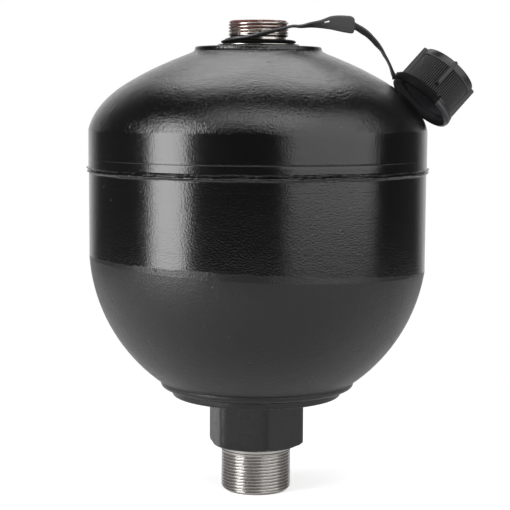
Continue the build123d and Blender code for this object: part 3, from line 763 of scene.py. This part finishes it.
def smooth_through(points, per_gap):
    """Catmull-Rom curve through rows of numbers."""
    rows = [np.array(p, float) for p in points]
    rows = [2 * rows[0] - rows[1]] + rows + [2 * rows[-1] - rows[-2]]
    out = []
    for a, b, c, d in zip(rows, rows[1:], rows[2:], rows[3:]):
        for k in range(per_gap):
            t = k / per_gap
            out.append(0.5 * (2 * b + (c - a) * t + (2 * a - 5 * b + 4 * c - d) * t ** 2
                              + (3 * b - a - 3 * c + d) * t ** 3))
    return out + [rows[-2]]


def sweep_strap(bm):
    """Closed ribbon between the two edges, with rounded corners and a slot through its tab."""
    # The section, as shares of the half width and half thickness. The slot lies between the
    # points 3 and 4 on one side and 11 and 12 on the other.
    corners = [(-1, -0.5), (-0.94, -0.86), (-0.8, -1), (0.12, -1), (0.44, -1), (0.8, -1),
               (0.94, -0.86), (1, -0.5), (1, 0.5), (0.94, 0.86), (0.8, 1), (0.44, 1), (0.12, 1),
               (-0.8, 1), (-0.94, 0.86), (-1, 0.5)]
    rows = smooth_through(strap_edges, 6)
    ups = [Vector((r[0], r[2], r[1])) for r in rows]
    lows = [Vector((r[3], r[5], r[4])) for r in rows]
    rings = []
    for i, row in enumerate(rows):
        a, b = max(i - 1, 0), min(i + 1, len(rows) - 1)
        run = ((ups[b] + lows[b]) - (ups[a] + lows[a])).normalized()
        middle, half = (ups[i] + lows[i]) / 2, (ups[i] - lows[i]) / 2
        through = run.cross(half).normalized() * row[6] / 2
        rings.append([bm.verts.new((middle + half * w + through * t) * MM) for w, t in corners])
    open_rows = [i for i, row in enumerate(rows) if slot_from < row[0] < slot_to]
    first, last = open_rows[0], open_rows[-1]
    for k, (low, high) in enumerate(zip(rings, rings[1:])):
        for i in range(len(corners)):
            n = (i + 1) % len(corners)
            if not (first <= k < last and i in (3, 11)):
                bm.faces.new((low[i], low[n], high[n], high[i]))
        if first <= k < last:
            bm.faces.new((low[3], high[3], high[12], low[12]))
            bm.faces.new((low[4], low[11], high[11], high[4]))
    for ring in (rings[first], rings[last]):
        bm.faces.new((ring[3], ring[4], ring[11], ring[12]))
    bm.faces.new(rings[0])
    bm.faces.new(list(reversed(rings[-1])))


def sweep_round_cap(bm, section, angles):
    """Sweeps outlines of (radius, height) points round the cap's axis, one for each angle in
    degrees, and closes both ends."""
    rings = []
    for angle, points in zip(angles, section):
        a = math.radians(angle)
        rings.append([bm.verts.new((r * math.cos(a) * MM, r * math.sin(a) * MM, z * MM))
                      for r, z in points])
    for low, high in zip(rings, rings[1:]):
        for i in range(len(low)):
            n = (i + 1) % len(low)
            bm.faces.new((low[i], low[n], high[n], high[i]))
    bm.faces.new(rings[0])
    bm.faces.new(list(reversed(rings[-1])))


def make_tether(plastic, black):
    """One soft moulding: ring on the gas stub's neck, twisted strap with its tab, ring on the cap."""
    bm = bmesh.new()
    middle = neck_z + 1.1
    profile = [(ring_hole_r, middle - 0.5), (ring_hole_r + 0.6, middle - 1.0), (15.2, middle - 1.05),
               (16.6, middle - 0.75), (17.3, middle - 0.35), (ring_r, middle), (17.3, middle + 0.35),
               (16.4, middle + 0.75), (15.0, middle + 0.95), (ring_hole_r + 0.6, middle + 0.95),
               (ring_hole_r, middle + 0.5)]
    turn(bm, profile, 96)
    # The ring on the neck takes the near-black plastic, darker than the rest of the moulding: painted
    # shade.
    for face in bm.faces:
        face.material_index = 1
    sweep_strap(bm)
    ring = bmesh.new()
    low, high = groove_low + 0.14, groove_high - 0.14
    profile = [(cap_ring_in, low)] + arc(cap_ring_out - 0.7, low + 0.5, 0.5, -90, 0, 4)
    profile += arc(cap_ring_out - 0.7, high - 0.5, 0.5, 0, 90, 4) + [(cap_ring_in, high)]
    turn(ring, profile, 128)
    # Lug that carries the strap, and the clasp round the near side of the skirt, drawn in the
    # near-black plastic, darker than the rest of the moulding: painted shade. The clasp swells at both
    # ends and is toothed at the last one.
    lug = [(16.1, 1.1), (17.5, 1.2), (17.7, 1.6), (17.7, 2.4), (17.5, 2.8), (16.1, 2.9)]
    sweep_round_cap(ring, [lug] * 7, steps(172, 188, 2.7))
    plain = len(ring.faces)
    clasp_start, clasp_end, swell_end, tooth_start = 176, 284, 182, 277
    angles = steps(clasp_start, clasp_end, 1.5)
    outer = []
    for k, angle in enumerate(angles):
        swell = 0.45 if angle > tooth_start or angle < swell_end else 0.0
        tooth = 0.5 * (1 if (k // 2) % 2 else -1) if angle > tooth_start else 0.0
        outer.append([(16.42, 0.15), (16.75, 0.0), (17.0 + swell, 0.25),
                      (17.0 + swell, 4.0 + tooth), (16.7, 4.25 + tooth), (16.42, 4.1 + tooth)])
    sweep_round_cap(ring, outer, angles)
    ring.faces.ensure_lookup_table()
    for face in ring.faces[plain:]:
        face.material_index = 1
    bmesh.ops.transform(ring, matrix=cap_place(), verts=ring.verts)
    mesh = bpy.data.meshes.new("ring")
    ring.to_mesh(mesh)
    ring.free()
    bm.from_mesh(mesh)
    bpy.data.meshes.remove(mesh)
    tether = finish_mesh(bm, "twisted_tether", [plastic, black], 45)
    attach(tether, "strap")
    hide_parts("tether")


def make_diaphragm(rubber):
    """Rubber cup with its bead under the retaining ring."""
    outer, t, low = inner_r - 0.3, rubber_t, rubber_low
    rim, bead_low = ring_low_z + bead_h, ring_low_z + bead_gap
    foot = lambda r, z: math.sqrt(r ** 2 - (dome_centre_z - z) ** 2)
    wall = lambda r, z: [(foot(r, h), h)
                         for h in steps(z, dome_centre_z - 1, 3.0)] + [(r, dome_centre_z)]
    patch = button_r + t
    profile = [(pocket_r, low), (19.5, low)] + wall(outer, low)
    profile += [(outer, h) for h in steps(dome_centre_z + 3, rim - 0.6, 4.0)]
    profile += [(outer - 0.5, rim), (outer - 2.3, rim), (outer - bead_w, rim - 0.5),
                (outer - bead_w, bead_low), (outer - t, bead_low - 1.2)]
    profile += list(reversed(wall(outer - t, low + t)))
    profile += [(patch + 0.6, low + t), (patch, low + t + 0.6), (patch, low + 5.9),
                (boss_pocket_r, low + 5.9), (boss_pocket_r, pocket_top_z),
                (pocket_r, pocket_top_z)]
    bm = bmesh.new()
    turn(bm, profile, 128)
    diaphragm = finish_mesh(bm, "rubber_diaphragm", [rubber], 40)
    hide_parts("diaphragm")
    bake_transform(diaphragm)


def dress(node, material):
    """Gives a carried-over CAD node its finish."""
    mesh = frame["nodes"][node].data
    mesh.materials.clear()
    mesh.materials.append(material)


make_camera()
make_world()
make_floor()
make_softbox("softbox_left", azimuth=-58, elevation=8, reach=0.66,
             width=0.30, height=0.84, radiance=9.5)
make_softbox("softbox_right", azimuth=50, elevation=20, reach=1.1,
             width=1.45, height=1.7, radiance=2.1)
make_softbox("softbox_front_top", azimuth=0, elevation=58, reach=1.1,
             width=1.0, height=0.55, radiance=2.6)
make_softbox("softbox_back_top", azimuth=180, elevation=58, reach=1.1,
             width=0.85, height=0.62, radiance=2.8)

no_lean = (0.0, 0.0)
nowhere = (300, 400)            # above every piece, so that none of it counts as turned
upper_enamel = black_enamel("black_enamel_upper", (100, 171.2), (0.005, 0.0), peel_mm=0.22,
                            peel_size=0.85, forged_roughness=0.165, forged_colour="#09090a")
lower_enamel = black_enamel("black_enamel_lower", (109.2, 200), (-0.0418, -0.034), peel_mm=0.20,
                            peel_size=0.7, forged_roughness=0.30, forged_colour="#070709")
port_enamel = black_enamel("black_enamel_port", nowhere, no_lean, peel_mm=0.14,
                           peel_size=0.7, forged_roughness=0.26, forged_colour="#040406")
weld_enamel = black_enamel("black_enamel_weld", nowhere, no_lean, peel_mm=0.10,
                           peel_size=0.7, forged_roughness=0.14, forged_colour="#101011")
port_steel = turned_steel("bare_turned_steel", "#c2c0bd", 0.24)
stub_steel = turned_steel("oiled_turned_steel", "#c4beb7", 0.24, stub_r, "#5a3028")
inner_steel = turned_steel("phosphated_steel", "#6e6d6b", 0.45)
screw_steel = turned_steel("zinc_plated_steel", "#a5a8ac", 0.3)
cap_plastic = moulded_plastic("charcoal_polyethylene_cap", "#111113", "#19191b", 0.30)
# Lighter grey for the inside of the cap: painted light.
lit_inside_plastic = moulded_plastic("grey_plastic_painted_light", "#4c4c4f", "#66666a", 0.42)
tether_plastic = moulded_plastic("charcoal_polyethylene_tether", "#2e2e30", "#3e3e40", 0.44)
# Near-black plastic for the rib valleys, the neck's ring and the clasp: painted shade.
shade_black_plastic = moulded_plastic("black_plastic_painted_shade", "#040404", "#070708", 0.62, 0.12)
rubber = nitrile_rubber("nitrile_rubber")

screw_thread = thread_tree()
make_fluid_port(screw_thread, port_enamel, port_steel)
make_gas_stub(screw_thread, stub_steel)
make_girth_weld(weld_enamel)
make_upper_shell(upper_enamel)
make_cap(rib_tree(), cap_plastic, lit_inside_plastic, shade_black_plastic)
make_tether(tether_plastic, shade_black_plastic)
make_diaphragm(rubber)

for node, material in (("lower_shell", lower_enamel),
                       ("port_weld", port_enamel), ("gas_stub_weld", weld_enamel),
                       ("charging_screw", screw_steel), ("charging_screw_seal", rubber),
                       ("retaining_ring", inner_steel), ("closing_button", inner_steel)):
    dress(node, material)

bpy.context.scene.view_settings.view_transform = "Standard"
